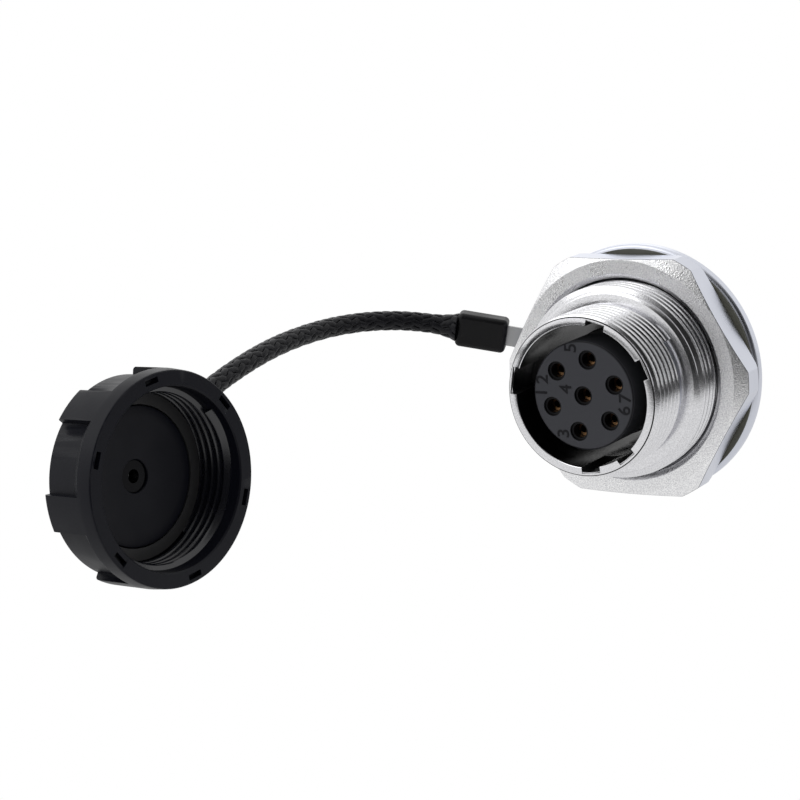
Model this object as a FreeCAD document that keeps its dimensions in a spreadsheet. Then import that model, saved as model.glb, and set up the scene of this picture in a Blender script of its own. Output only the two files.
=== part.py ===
import FreeCAD, Part
import math
import os
import Sketcher

Vector = FreeCAD.Vector
doc = FreeCAD.newDocument("panel_receptacle")

# Driving sizes
# Millimetres and degrees. Stations along the receptacle run from its mouth, rearwards,
# and stations along the cap run from its own mouth towards its closed end.
SIZES = {
    # threads, which the other radii start from
    "mating_thread_radius": 9.5,
    "thread_step": 1.95,
    # receptacle shell, mating end
    "mouth_to_seat": 15.4,
    "rim_chamfer": 0.45,
    "shell_wall": 1.24,
    "mating_thread_end": 7.2,
    "relief_depth": 0.6,
    "relief_chamfer": 0.35,
    "relief_length": 0.45,
    "shoulder_drop": 0.85,
    "shoulder_bevel": 0.6,
    "bore_depth": 9.2,
    "web_thickness": 1.2,
    # keyways in the rim, each an angle from the right-hand side and a width
    "keyway_rise": 0.62,
    "keyway_depth": 6.0,
    "key_top_angle": 75.3,
    "key_right_angle": 24.0,
    "key_low_angle": -51.0,
    "key_bottom_angle": -84.0,
    "key_left_angle": 170.0,
    "key_width": 2.35,
    "key_wide_width": 3.15,
    # flange and rear barrel
    "flange_margin": 0.5,
    "flange_thickness": 1.35,
    "flange_bevel": 0.15,
    "rear_bore_step": 0.34,
    "barrel_wall": 1.3,
    "barrel_length": 5.8,
    "barrel_bevel": 0.4,
    "barrel_groove_depth": 0.6,
    "barrel_groove_start": 2.2,
    "barrel_groove_width": 1.2,
    # gasket, lanyard ring and panel nut, stacked forward from the flange
    "ring_hole_clearance": 0.1,
    "gasket_thickness": 0.35,
    "gasket_width": 3.1,
    "ring_thickness": 0.3,
    "ring_width": 1.95,
    "nut_thickness": 3.66,
    "nut_wall": 2.63,
    "nut_corner_reach": 0.43,
    "nut_face_inset": 0.1,
    "nut_face_bevel": 0.63,
    "nut_rear_bevel": 0.25,
    "nut_running_clearance": 0.06,
    "nut_countersink": 0.85,
    # tab of the ring, bent forwards into the sleeve
    "tab_angle": 167.4,
    "tab_bend": 22.7,
    "tab_width": 2.5,
    "tab_clearance": 0.35,
    "tab_run": 4.3,
    "tab_show": 1.9,
    # insulators, seal and retaining ring
    "plug_gap": 1.93,
    "face_recess": 0.69,
    "face_edge": 0.2,
    "boss_clearance": 0.12,
    "insulator_clearance": 0.1,
    "seal_thickness": 0.8,
    "seal_inset": 0.15,
    "insulator_flange": 1.8,
    "rear_insulator_length": 4.5,
    "rear_boss_inset": 1.6,
    "rear_boss_height": 0.8,
    "retainer_length": 1.9,
    "retainer_clearance": 0.05,
    "retainer_width": 1.45,
    "retainer_slot_width": 1.6,
    "retainer_slot_depth": 0.9,
    # contacts
    "contact_circle_radius": 4.25,
    "contact_first_angle": 20.0,
    "contact_recess": 1.5,
    "contact_hole_radius": 0.5,
    "contact_wall": 0.28,
    "contact_hole_depth": 6.0,
    "hole_clearance": 0.05,
    "countersink_depth": 0.3,
    "collar_step": 0.37,
    "collar_length": 1.0,
    "collar_clearance": 0.08,
    "cup_length": 3.2,
    "cup_hole_radius": 0.62,
    "cup_wall": 0.28,
    "contact_tail": 6.7,
    # cap
    "cap_height": 7.05,
    "cap_mouth_clearance": 0.25,
    "cap_mouth_bevel": 0.15,
    "cap_engagement": 0.45,
    "cap_wall": 1.81,
    "cap_rim_bevel": 0.2,
    "cap_relief_depth": 1.2,
    "cap_relief_slope": 0.5,
    "cap_pad_rise": 0.06,
    "cap_panel_depth": 0.81,
    "cap_band": 1.75,
    "cap_ramp": 1.3,
    "cap_panel_sweep": 40.0,
    "cap_rear_round": 0.4,
    "cap_back": 1.5,
    "cap_floor_edge": 0.3,
    "cap_floor_dish": 0.45,
    "cap_seal_depth": 0.85,
    "cap_seal_thickness": 0.8,
    "cap_seal_width": 1.33,
    "cap_seal_clearance": 0.05,
    "cap_socket_depth": 0.45,
    "cap_slot_inset": 0.86,
    "cap_slot_width": 0.6,
    "cap_slot_length": 1.8,
    "cap_slot_depth": 0.8,
    "cap_grip_count": 6,
    # cap at rest beside the receptacle
    "cap_yaw": 80.7,
    "cap_tilt": -3.3,
    "cap_spin": -37.0,
    "cap_across": -26.2,
    "cap_forward": -57.2,
    "cap_up": -1.4,
    # rivet and eyelet behind the cap
    "rivet_radius": 1.2,
    "rivet_wall": 0.45,
    "rivet_hollow_depth": 1.6,
    "rivet_foot_step": 0.5,
    "rivet_foot_thickness": 0.35,
    "rivet_head_step": 1.1,
    "rivet_head_thickness": 0.7,
    "socket_clearance": 0.08,
    "eyelet_gap": 0.1,
    "eyelet_clearance": 0.08,
    "eyelet_thickness": 0.5,
    "eyelet_width": 1.62,
    "eyelet_bend_run": 1.3,
    "eyelet_step": 1.6,
    "eyelet_tail_width": 2.5,
    "eyelet_tail_run": 2.1,
    "eyelet_angle": 22.1,
    # sleeves on the cord's two ends
    "sleeve_length": 6.2,
    "sleeve_side_wall": 0.85,
    "sleeve_face_wall": 1.15,
    "sleeve_round": 0.6,
    "sleeve_slot_depth": 2.8,
    # cord
    "cord_diameter": 2.4,
    "cord_cap_run": 3.6,
    "cord_ring_run": 4.8,
}

# Sizes that follow from the driving ones
FOLLOWING = {
    "panel_thread_radius": "mating_thread_radius + thread_step",
    "bore_radius": "mating_thread_radius - shell_wall",
    "rear_bore_radius": "bore_radius + rear_bore_step",
    "rim_radius": "mating_thread_radius - rim_chamfer",
    "relief_radius": "mating_thread_radius - relief_depth",
    "shoulder_station": "mating_thread_end + relief_length",
    "shoulder_radius": "panel_thread_radius - shoulder_drop",
    "keyway_radius": "bore_radius + keyway_rise",
    "keyway_inner": "bore_radius - keyway_rise",
    "barrel_radius": "rear_bore_radius + barrel_wall",
    "barrel_groove_radius": "barrel_radius - barrel_groove_depth",
    "ring_hole_radius": "panel_thread_radius + ring_hole_clearance",
    "gasket_radius": "ring_hole_radius + gasket_width",
    "flange_radius": "gasket_radius + flange_margin",
    "ring_radius": "ring_hole_radius + ring_width",
    "nut_across_flats": "2 * (panel_thread_radius + nut_wall)",
    "nut_corner_radius": "flange_radius + nut_corner_reach",
    "nut_face_radius": "nut_across_flats / 2 - nut_face_inset",
    "tab_bend_start": "flange_radius + tab_clearance",
    "tab_length": "tab_bend_start + tab_run",
    "ring_sleeve_start": "tab_bend_start + tab_show",
    "boss_radius": "bore_radius - plug_gap",
    "web_radius": "boss_radius + boss_clearance",
    "seal_inner_radius": "web_radius + seal_inset",
    "insulator_radius": "rear_bore_radius - insulator_clearance",
    "rear_boss_radius": "insulator_radius - rear_boss_inset",
    "retainer_radius": "rear_bore_radius - retainer_clearance",
    "retainer_inner_radius": "retainer_radius - retainer_width",
    "contact_radius": "contact_hole_radius + contact_wall",
    "collar_radius": "contact_radius + collar_step",
    "cup_radius": "cup_hole_radius + cup_wall",
    "cap_thread_radius": "mating_thread_radius - cap_engagement",
    "cap_mouth_radius": "mating_thread_radius + cap_mouth_clearance",
    "cap_rim_radius": "cap_mouth_radius + cap_wall",
    "cap_pad_radius": "cap_rim_radius + cap_pad_rise",
    "cap_panel_radius": "cap_pad_radius - cap_panel_depth",
    "cap_floor_station": "cap_height - cap_back",
    "cap_seal_station": "cap_floor_station + cap_seal_depth",
    "cap_seal_outer": "cap_thread_radius - cap_seal_clearance",
    "cap_seal_inner": "cap_seal_outer - cap_seal_width",
    "cap_floor_radius": "cap_seal_inner - cap_seal_clearance",
    "cap_socket_station": "cap_height - cap_socket_depth",
    "cap_slot_radius": "cap_rim_radius - cap_slot_inset",
    "rivet_hollow_radius": "rivet_radius - rivet_wall",
    "rivet_foot_radius": "rivet_radius + rivet_foot_step",
    "rivet_head_radius": "rivet_radius + rivet_head_step",
    "cap_socket_radius": "rivet_foot_radius + socket_clearance",
    "eyelet_hole_radius": "rivet_radius + eyelet_clearance",
    "eyelet_radius": "eyelet_hole_radius + eyelet_width",
    "eyelet_bend_start": "eyelet_radius - 0.3 * eyelet_bend_run",
    "eyelet_bend_end": "eyelet_bend_start + eyelet_bend_run",
    "cap_sleeve_start": "eyelet_bend_end - eyelet_thickness",
    "eyelet_length": "eyelet_bend_end + eyelet_tail_run",
    "sleeve_width": "tab_width + 2 * sleeve_side_wall",
    "sleeve_thickness": "ring_thickness + 2 * sleeve_face_wall",
}

sheet = doc.addObject("Spreadsheet::Sheet", "sizes")
for row, (alias, value) in enumerate(SIZES.items(), start=1):
    sheet.set("A%d" % row, alias)
    sheet.set("B%d" % row, str(value))
    sheet.setAlias("B%d" % row, alias)
doc.recompute()
for row, (alias, formula) in enumerate(FOLLOWING.items(), start=len(SIZES) + 1):
    sheet.set("A%d" % row, alias)
    sheet.set("B%d" % row, "=" + formula)
    sheet.setAlias("B%d" % row, alias)
    doc.recompute()


def size(alias):
    """The value of one cell of the sheet."""
    return float(sheet.get(alias))


parts = []


def new_body(label):
    """A body for one piece of the object, exported under its label."""
    body = doc.addObject("PartDesign::Body", label)
    body.Label = label
    parts.append(body)
    return body


def origin_plane(body, role):
    return [feature for feature in body.Origin.OriginFeatures if feature.Role == role][0]


def new_sketch(body, name, role, station=None):
    """A sketch on one of the body's own planes, moved along the plane's normal to a station."""
    sketch = body.newObject("Sketcher::SketchObject", name)
    sketch.AttachmentSupport = [(origin_plane(body, role), "")]
    sketch.MapMode = "FlatFace"
    if station:
        sketch.setExpression("AttachmentOffset.Base.z", station)
    return sketch


def place_point(sketch, index, end, across, along):
    """Hold one point of a sketch at two distances that follow the sheet."""
    for kind, axis, text in (("DistanceX", -2, across), ("DistanceY", -1, along)):
        if text == "0":
            sketch.addConstraint(Sketcher.Constraint("PointOnObject", index, end, axis))
            continue
        number = sketch.addConstraint(Sketcher.Constraint(kind, -1, 1, index, end, 1.0))
        sketch.setExpression("Constraints[%d]" % number, text)


def draw_outline(sketch, points):
    """A closed outline of straight edges through points given as pairs of expressions."""
    first = sketch.GeometryCount
    count = len(points)
    start = [Vector(30 + 9 * math.cos(2 * math.pi * k / count), 30 + 9 * math.sin(2 * math.pi * k / count), 0)
             for k in range(count)]
    for k in range(count):
        sketch.addGeometry(Part.LineSegment(start[k], start[(k + 1) % count]), False)
    for k in range(count):
        following = first + (k + 1) % count
        sketch.addConstraint(Sketcher.Constraint("Coincident", first + k, 2, following, 1))
    for k, (across, along) in enumerate(points):
        place_point(sketch, first + k, 1, across, along)


def draw_circle(sketch, across, along, radius):
    index = sketch.addGeometry(Part.Circle(Vector(2, 2, 0), Vector(0, 0, 1), 1.0), False)
    place_point(sketch, index, 3, across, along)
    number = sketch.addConstraint(Sketcher.Constraint("Radius", index, 1.0))
    sketch.setExpression("Constraints[%d]" % number, radius)


def turn(body, points, name="turned"):
    """Turn a profile of (radius, station) points about the body's own Y axis."""
    sketch = new_sketch(body, name + "_profile", "XY_Plane")
    draw_outline(sketch, points)
    solid = body.newObject("PartDesign::Revolution", name)
    solid.Profile = sketch
    solid.ReferenceAxis = (sketch, ["V_Axis"])
    solid.Angle = 360
    doc.recompute()
    return solid


def sink(body, sketch, depth, name):
    """Pocket a sketch towards the closed end, and make sure that it removes material."""
    before = body.Shape.Volume
    pocket = body.newObject("PartDesign::Pocket", name)
    pocket.Profile = sketch
    pocket.setExpression("Length", depth)
    doc.recompute()
    if body.Shape.Volume > before - 1e-6:
        pocket.Reversed = True
        doc.recompute()
    if body.Shape.Volume > before - 1e-6:
        raise RuntimeError("%s cuts nothing" % name)
    return pocket


def repeat_round(body, feature, count, name):
    """Repeat one cut round the body's own Y axis."""
    pattern = body.newObject("PartDesign::PolarPattern", name)
    pattern.Originals = [feature]
    axis = [line for line in body.Origin.OriginFeatures if line.Role == "Y_Axis"][0]
    pattern.Axis = (axis, [""])
    pattern.Angle = 360
    pattern.setExpression("Occurrences", count)
    body.Tip = pattern
    doc.recompute()
    return pattern


def on_receptacle(body):
    """Stations of the body run from the receptacle's mouth."""
    body.setExpression("Placement.Base.y", "-sizes.mouth_to_seat")


CAP_CENTRE = "vector(sizes.cap_across; sizes.cap_forward; sizes.cap_up)"
CAP_TURN = "rotation(sizes.cap_yaw; 0; sizes.cap_tilt)"


def on_cap(body, turned_by):
    """Stations of the body run along the cap's axis, turned about it by an angle."""
    about_axis = "rotation(vector(0; 1; 0); %s)" % turned_by
    body.setExpression("Placement", "placement(%s; %s * %s)" % (CAP_CENTRE, CAP_TURN, about_axis))


# Receptacle shell
# One turned piece: keyed mating end, shoulder, panel thread, flange and rear barrel.
SEAT = "sizes.mouth_to_seat"
FLANGE_REAR = "(sizes.mouth_to_seat + sizes.flange_thickness)"
BARREL_END = "(sizes.mouth_to_seat + sizes.flange_thickness + sizes.barrel_length)"
GROOVE_START = "(%s + sizes.barrel_groove_start)" % FLANGE_REAR
GROOVE_END = "(%s + sizes.barrel_groove_width)" % GROOVE_START
WEB_REAR = "(sizes.bore_depth + sizes.web_thickness)"
shell = new_body("receptacle_shell")
turn(shell, [
    ("sizes.bore_radius", "0"),
    ("sizes.rim_radius", "0"),
    ("sizes.mating_thread_radius", "sizes.rim_chamfer"),
    ("sizes.mating_thread_radius", "sizes.mating_thread_end - sizes.relief_chamfer"),
    ("sizes.relief_radius", "sizes.mating_thread_end"),
    ("sizes.relief_radius", "sizes.shoulder_station"),
    ("sizes.shoulder_radius", "sizes.shoulder_station"),
    ("sizes.panel_thread_radius", "sizes.shoulder_station + sizes.shoulder_bevel"),
    ("sizes.panel_thread_radius", SEAT),
    ("sizes.flange_radius - sizes.flange_bevel", SEAT),
    ("sizes.flange_radius", SEAT + " + sizes.flange_bevel"),
    ("sizes.flange_radius", FLANGE_REAR + " - sizes.flange_bevel"),
    ("sizes.flange_radius - sizes.flange_bevel", FLANGE_REAR),
    ("sizes.barrel_radius", FLANGE_REAR),
    ("sizes.barrel_radius", GROOVE_START),
    ("sizes.barrel_groove_radius", GROOVE_START),
    ("sizes.barrel_groove_radius", GROOVE_END),
    ("sizes.barrel_radius", GROOVE_END),
    ("sizes.barrel_radius", BARREL_END + " - sizes.barrel_bevel"),
    ("sizes.barrel_radius - sizes.barrel_bevel", BARREL_END),
    ("sizes.rear_bore_radius", BARREL_END),
    ("sizes.rear_bore_radius", WEB_REAR),
    ("sizes.web_radius", WEB_REAR),
    ("sizes.web_radius", "sizes.bore_depth"),
    ("sizes.bore_radius", "sizes.bore_depth"),
])
# Five keyways broached in the bore, the widest on the left, so that a plug enters one way.
keyways = new_sketch(shell, "keyway_profile", "XZ_Plane")
for angle, width in (
    ("sizes.key_top_angle", "sizes.key_width"),
    ("sizes.key_right_angle", "sizes.key_width"),
    ("sizes.key_low_angle", "sizes.key_width"),
    ("sizes.key_bottom_angle", "sizes.key_width"),
    ("sizes.key_left_angle", "sizes.key_wide_width"),
):
    corners = []
    for reach, side in (("sizes.keyway_inner", -0.5), ("sizes.keyway_radius", -0.5),
                        ("sizes.keyway_radius", 0.5), ("sizes.keyway_inner", 0.5)):
        across = "%s * cos(%s) - %s * %s * sin(%s)" % (reach, angle, side, width, angle)
        up = "%s * sin(%s) + %s * %s * cos(%s)" % (reach, angle, side, width, angle)
        corners.append((across, up))
    draw_outline(keyways, corners)
sink(shell, keyways, "sizes.keyway_depth", "keyways")
on_receptacle(shell)

# Panel gasket
# Flat rubber ring on the flange, squeezed against the rear of the panel.
gasket = new_body("panel_gasket")
GASKET_FRONT = "(sizes.mouth_to_seat - sizes.gasket_thickness)"
RING_HOLE = "sizes.ring_hole_radius"
turn(gasket, [
    (RING_HOLE, GASKET_FRONT),
    ("sizes.gasket_radius", GASKET_FRONT),
    ("sizes.gasket_radius", SEAT),
    (RING_HOLE, SEAT),
])
on_receptacle(gasket)

# Lanyard ring
# Stamped flat ring on the panel thread, with a tab bent forwards into the cord's sleeve.
ring = new_body("lanyard_ring")
RING_FRONT = "(%s - sizes.ring_thickness)" % GASKET_FRONT
turn(ring, [
    (RING_HOLE, RING_FRONT),
    ("sizes.ring_radius", RING_FRONT),
    ("sizes.ring_radius", GASKET_FRONT),
    (RING_HOLE, GASKET_FRONT),
])
tab = new_sketch(ring, "tab_profile", "XY_Plane")
TAB_ROOT = "sizes.ring_radius - 0.5 * sizes.ring_width"
BEND = "sizes.tab_bend_start"
TAB_RUN = "(sizes.tab_length - sizes.tab_bend_start)"
THICK = "sizes.ring_thickness"
draw_outline(tab, [
    (TAB_ROOT, RING_FRONT),
    (BEND, RING_FRONT),
    ("%s + %s * cos(sizes.tab_bend)" % (BEND, TAB_RUN), "%s - %s * sin(sizes.tab_bend)" % (RING_FRONT, TAB_RUN)),
    ("%s + %s * cos(sizes.tab_bend) + %s * sin(sizes.tab_bend)" % (BEND, TAB_RUN, THICK),
     "%s - %s * sin(sizes.tab_bend) + %s * cos(sizes.tab_bend)" % (RING_FRONT, TAB_RUN, THICK)),
    ("%s + %s * tan(sizes.tab_bend / 2)" % (BEND, THICK), GASKET_FRONT),
    (TAB_ROOT, GASKET_FRONT),
])
tab_pad = ring.newObject("PartDesign::Pad", "tab")
tab_pad.Profile = tab
tab_pad.SideType = "Symmetric"
tab_pad.setExpression("Length", "sizes.tab_width")
doc.recompute()
ring.setExpression("Placement", "placement(vector(0; -sizes.mouth_to_seat; 0);"
                   " rotation(vector(0; 1; 0); -sizes.tab_angle))")

# Panel nut
# Thin hexagon nut with corners turned to a circle; its thread runs on the panel thread.
nut = new_body("panel_nut")
NUT_FRONT = "(%s - sizes.nut_thickness)" % RING_FRONT
NUT_BORE = "(sizes.panel_thread_radius + sizes.nut_running_clearance)"
turn(nut, [
    (NUT_BORE + " + sizes.nut_countersink", NUT_FRONT),
    ("sizes.nut_face_radius", NUT_FRONT),
    ("sizes.nut_corner_radius", NUT_FRONT + " + sizes.nut_face_bevel"),
    ("sizes.nut_corner_radius", RING_FRONT + " - sizes.nut_rear_bevel"),
    ("sizes.nut_corner_radius - sizes.nut_rear_bevel", RING_FRONT),
    (NUT_BORE, RING_FRONT),
    (NUT_BORE, NUT_FRONT + " + sizes.nut_countersink"),
])
flats = new_sketch(nut, "hexagon", "XZ_Plane", "-%s + 1" % NUT_FRONT)
draw_circle(flats, "0", "0", "sizes.nut_corner_radius + 3")
draw_outline(flats, [
    ("sizes.nut_across_flats / sqrt(3) * cos(%d)" % angle, "sizes.nut_across_flats / sqrt(3) * sin(%d)" % angle)
    for angle in range(0, 360, 60)
])
sink(nut, flats, "sizes.nut_thickness + 2", "flats")
on_receptacle(nut)

# Insulators
# The front one carries the numbered face; its flange is clamped by the rear one.
HOLE_RADIUS = "sizes.contact_radius + sizes.hole_clearance"
FLANGE_FRONT = "(%s + sizes.seal_thickness)" % WEB_REAR
FRONT_END = "(%s + sizes.insulator_flange)" % FLANGE_FRONT
COLLAR_HOLE = "sizes.collar_radius + sizes.collar_clearance"
COLLAR_POCKET = "(sizes.collar_length + sizes.collar_clearance)"
positions = [("0", "0")]
for k in range(6):
    angle = "(sizes.contact_first_angle + %d)" % (60 * k)
    positions.append(("sizes.contact_circle_radius * cos(%s)" % angle,
                      "sizes.contact_circle_radius * sin(%s)" % angle))


def contact_holes(body, radius, name, depth, station=None):
    sketch = new_sketch(body, name + "_circles", "XZ_Plane", station)
    for across, up in positions:
        draw_circle(sketch, across, up, radius)
    return sink(body, sketch, depth, name)


front = new_body("insulator_front")
turn(front, [
    ("0", "sizes.face_recess"),
    ("sizes.boss_radius - sizes.face_edge", "sizes.face_recess"),
    ("sizes.boss_radius", "sizes.face_recess + sizes.face_edge"),
    ("sizes.boss_radius", FLANGE_FRONT),
    ("sizes.insulator_radius", FLANGE_FRONT),
    ("sizes.insulator_radius", FRONT_END),
    ("0", FRONT_END),
])
contact_holes(front, HOLE_RADIUS, "contact_bores", FRONT_END + " + 1")
contact_holes(front, HOLE_RADIUS + " + sizes.countersink_depth", "countersinks",
              "sizes.face_recess + sizes.countersink_depth")
contact_holes(front, COLLAR_HOLE, "collar_pockets", COLLAR_POCKET + " + 1", "-%s + %s" % (FRONT_END, COLLAR_POCKET))
on_receptacle(front)

rear = new_body("insulator_rear")
REAR_END = "(%s + sizes.rear_insulator_length)" % FRONT_END
turn(rear, [
    ("0", FRONT_END),
    ("sizes.insulator_radius", FRONT_END),
    ("sizes.insulator_radius", REAR_END),
    ("sizes.rear_boss_radius", REAR_END),
    ("sizes.rear_boss_radius", REAR_END + " + sizes.rear_boss_height"),
    ("0", REAR_END + " + sizes.rear_boss_height"),
])
contact_holes(rear, HOLE_RADIUS, "contact_bores_rear", REAR_END + " + 2")
on_receptacle(rear)

# Insert seal
# Flat rubber ring between the shell's web and the front insulator's flange.
seal = new_body("insert_seal")
turn(seal, [
    ("sizes.seal_inner_radius", WEB_REAR),
    ("sizes.insulator_radius", WEB_REAR),
    ("sizes.insulator_radius", FLANGE_FRONT),
    ("sizes.seal_inner_radius", FLANGE_FRONT),
])
on_receptacle(seal)

# Retaining ring
# Slotted ring that is screwed into the rear bore and holds both insulators.
retainer = new_body("retaining_ring")
RETAINER_END = "(%s + sizes.retainer_length)" % REAR_END
turn(retainer, [
    ("sizes.retainer_inner_radius", REAR_END),
    ("sizes.retainer_radius", REAR_END),
    ("sizes.retainer_radius", RETAINER_END),
    ("sizes.retainer_inner_radius", RETAINER_END),
])
slots = new_sketch(retainer, "slot_profile", "XZ_Plane", "-%s + sizes.retainer_slot_depth" % RETAINER_END)
HALF_SLOT = "0.5 * sizes.retainer_slot_width"
SLOT_REACH = "sizes.retainer_radius + 1"
draw_outline(slots, [
    ("-(%s)" % SLOT_REACH, "-" + HALF_SLOT),
    (SLOT_REACH, "-" + HALF_SLOT),
    (SLOT_REACH, HALF_SLOT),
    ("-(%s)" % SLOT_REACH, HALF_SLOT),
])
sink(retainer, slots, "sizes.retainer_slot_depth + 1", "spanner_slots")
on_receptacle(retainer)

# Contacts
# Seven turned sockets: a bored tip, a collar trapped in the front insulator, a solder cup.
COLLAR_START = "(%s - sizes.collar_length)" % FRONT_END
CONTACT_END = "(%s + sizes.contact_tail)" % REAR_END
CUP_START = "(%s - sizes.cup_length)" % CONTACT_END
contact_places = [(0.0, 0.0)]
for k in range(6):
    turned_to = math.radians(size("contact_first_angle") + 60 * k)
    circle = size("contact_circle_radius")
    contact_places.append((circle * math.cos(turned_to), circle * math.sin(turned_to)))
# The face is numbered 4 in the middle and 7, 5, 2, 1, 3, 6 round it from the right.
for number, (across, up) in zip((4, 7, 5, 2, 1, 3, 6), contact_places):
    contact = new_body("contact_%d" % number)
    start = "(sizes.face_recess + sizes.contact_recess)"
    turn(contact, [
        ("sizes.contact_hole_radius", start),
        ("sizes.contact_radius", start),
        ("sizes.contact_radius", COLLAR_START),
        ("sizes.collar_radius", COLLAR_START),
        ("sizes.collar_radius", FRONT_END),
        ("sizes.contact_radius", FRONT_END),
        ("sizes.contact_radius", CUP_START),
        ("sizes.cup_radius", CUP_START),
        ("sizes.cup_radius", CONTACT_END),
        ("sizes.cup_hole_radius", CONTACT_END),
        ("sizes.cup_hole_radius", CUP_START + " + 0.6"),
        ("0", CUP_START + " + 0.2"),
        ("0", start + " + sizes.contact_hole_depth + 0.3"),
        ("sizes.contact_hole_radius", start + " + sizes.contact_hole_depth"),
    ], "socket_%d" % number)
    scoop = new_sketch(contact, "cup_opening_%d" % number, "XZ_Plane", "-%s - 1" % CUP_START)
    draw_outline(scoop, [
        ("-sizes.cup_radius - 0.3", "0.15"),
        ("sizes.cup_radius + 0.3", "0.15"),
        ("sizes.cup_radius + 0.3", "sizes.cup_radius + 0.3"),
        ("-sizes.cup_radius - 0.3", "sizes.cup_radius + 0.3"),
    ])
    sink(contact, scoop, "sizes.cup_length", "solder_cup_%d" % number)
    contact.setExpression("Placement.Base.y", "-sizes.mouth_to_seat")
    if number != 4:
        turned_to = "(sizes.contact_first_angle + %d)" % (60 * (7, 5, 2, 1, 3, 6).index(number))
        contact.setExpression("Placement.Base.x", "sizes.contact_circle_radius * cos(%s)" % turned_to)
        contact.setExpression("Placement.Base.z", "sizes.contact_circle_radius * sin(%s)" % turned_to)

# Cap body
# Moulded cover: plain front band, six grip pads with recessed panels between them, an
# internal thread, a dished floor inside a seal groove, and six slots in the rim.
cap = new_body("cap_body")
cap_blank = turn(cap, [
    ("sizes.cap_mouth_radius + sizes.cap_mouth_bevel", "0"),
    ("sizes.cap_rim_radius - sizes.cap_rim_bevel", "0"),
    ("sizes.cap_rim_radius", "sizes.cap_rim_bevel"),
    ("sizes.cap_pad_radius", "sizes.cap_band"),
    ("sizes.cap_pad_radius", "sizes.cap_height"),
    ("sizes.rivet_radius", "sizes.cap_height"),
    ("sizes.rivet_radius", "sizes.cap_socket_station"),
    ("sizes.cap_socket_radius", "sizes.cap_socket_station"),
    ("sizes.cap_socket_radius", "sizes.cap_floor_station + sizes.cap_floor_dish"),
    ("sizes.cap_floor_radius - sizes.cap_floor_edge", "sizes.cap_floor_station"),
    ("sizes.cap_floor_radius", "sizes.cap_floor_station + sizes.cap_floor_edge"),
    ("sizes.cap_floor_radius", "sizes.cap_seal_station"),
    ("sizes.cap_thread_radius", "sizes.cap_seal_station"),
    ("sizes.cap_thread_radius", "sizes.cap_relief_depth + sizes.cap_relief_slope"),
    ("sizes.cap_mouth_radius", "sizes.cap_relief_depth"),
    ("sizes.cap_mouth_radius", "sizes.cap_mouth_bevel"),
])
rear_edges = []
for number, edge in enumerate(cap.Shape.Edges, start=1):
    curve = edge.Curve
    if curve.TypeId == "Part::GeomCircle" and abs(curve.Radius - size("cap_pad_radius")) < 1e-4:
        if abs(curve.Center.y - size("cap_height")) < 1e-4:
            rear_edges.append("Edge%d" % number)
rounding = cap.newObject("PartDesign::Fillet", "rear_rounding")
rounding.Base = (cap_blank, rear_edges)
rounding.setExpression("Radius", "sizes.cap_rear_round")
doc.recompute()
panel = new_sketch(cap, "panel_profile", "XY_Plane")
draw_outline(panel, [
    ("sizes.cap_panel_radius", "sizes.cap_band + sizes.cap_ramp"),
    ("sizes.cap_pad_radius", "sizes.cap_band"),
    ("sizes.cap_pad_radius + 1", "sizes.cap_band"),
    ("sizes.cap_pad_radius + 1", "sizes.cap_height + 1"),
    ("sizes.cap_panel_radius", "sizes.cap_height + 1"),
])
panel_cut = cap.newObject("PartDesign::Groove", "grip_panel")
panel_cut.Profile = panel
panel_cut.ReferenceAxis = (panel, ["V_Axis"])
panel_cut.Midplane = True
panel_cut.setExpression("Angle", "sizes.cap_panel_sweep")
doc.recompute()
repeat_round(cap, panel_cut, "sizes.cap_grip_count", "grip_panels")
slot = new_sketch(cap, "rim_slot_profile", "XZ_Plane")
SLOT_IN = "sizes.cap_slot_radius - 0.5 * sizes.cap_slot_width"
SLOT_OUT = "sizes.cap_slot_radius + 0.5 * sizes.cap_slot_width"
draw_outline(slot, [
    (SLOT_IN, "-0.5 * sizes.cap_slot_length"),
    (SLOT_OUT, "-0.5 * sizes.cap_slot_length"),
    (SLOT_OUT, "0.5 * sizes.cap_slot_length"),
    (SLOT_IN, "0.5 * sizes.cap_slot_length"),
])
slot_cut = sink(cap, slot, "sizes.cap_slot_depth", "rim_slot")
repeat_round(cap, slot_cut, "sizes.cap_grip_count", "rim_slots")
on_cap(cap, "sizes.cap_spin")

# Cap seal
# Flat rubber ring in the groove round the cap's floor, pressed by the receptacle's rim.
cap_seal = new_body("cap_seal")
SEAL_FRONT = "sizes.cap_seal_station - sizes.cap_seal_thickness"
turn(cap_seal, [
    ("sizes.cap_seal_inner", SEAL_FRONT),
    ("sizes.cap_seal_outer", SEAL_FRONT),
    ("sizes.cap_seal_outer", "sizes.cap_seal_station"),
    ("sizes.cap_seal_inner", "sizes.cap_seal_station"),
])
on_cap(cap_seal, "sizes.cap_spin")

# Cap rivet
# Tubular rivet clinched inside the cap's socket; the cap turns with it in the eyelet.
rivet = new_body("cap_rivet")
HEAD_START = "(sizes.cap_height + 2 * sizes.eyelet_gap + sizes.eyelet_thickness)"
HEAD_END = "(%s + sizes.rivet_head_thickness)" % HEAD_START
FOOT_START = "(sizes.cap_socket_station - sizes.rivet_foot_thickness)"
turn(rivet, [
    ("sizes.rivet_hollow_radius", FOOT_START),
    ("sizes.rivet_foot_radius", FOOT_START),
    ("sizes.rivet_foot_radius", "sizes.cap_socket_station"),
    ("sizes.rivet_radius", "sizes.cap_socket_station"),
    ("sizes.rivet_radius", HEAD_START),
    ("sizes.rivet_head_radius", HEAD_START),
    ("sizes.rivet_head_radius", HEAD_START + " + 0.4 * sizes.rivet_head_thickness"),
    ("0.6 * sizes.rivet_head_radius", HEAD_END),
    ("0", HEAD_END),
    ("0", FOOT_START + " + sizes.rivet_hollow_depth + 0.3"),
    ("sizes.rivet_hollow_radius", FOOT_START + " + sizes.rivet_hollow_depth"),
])
on_cap(rivet, "sizes.cap_spin")

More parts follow.
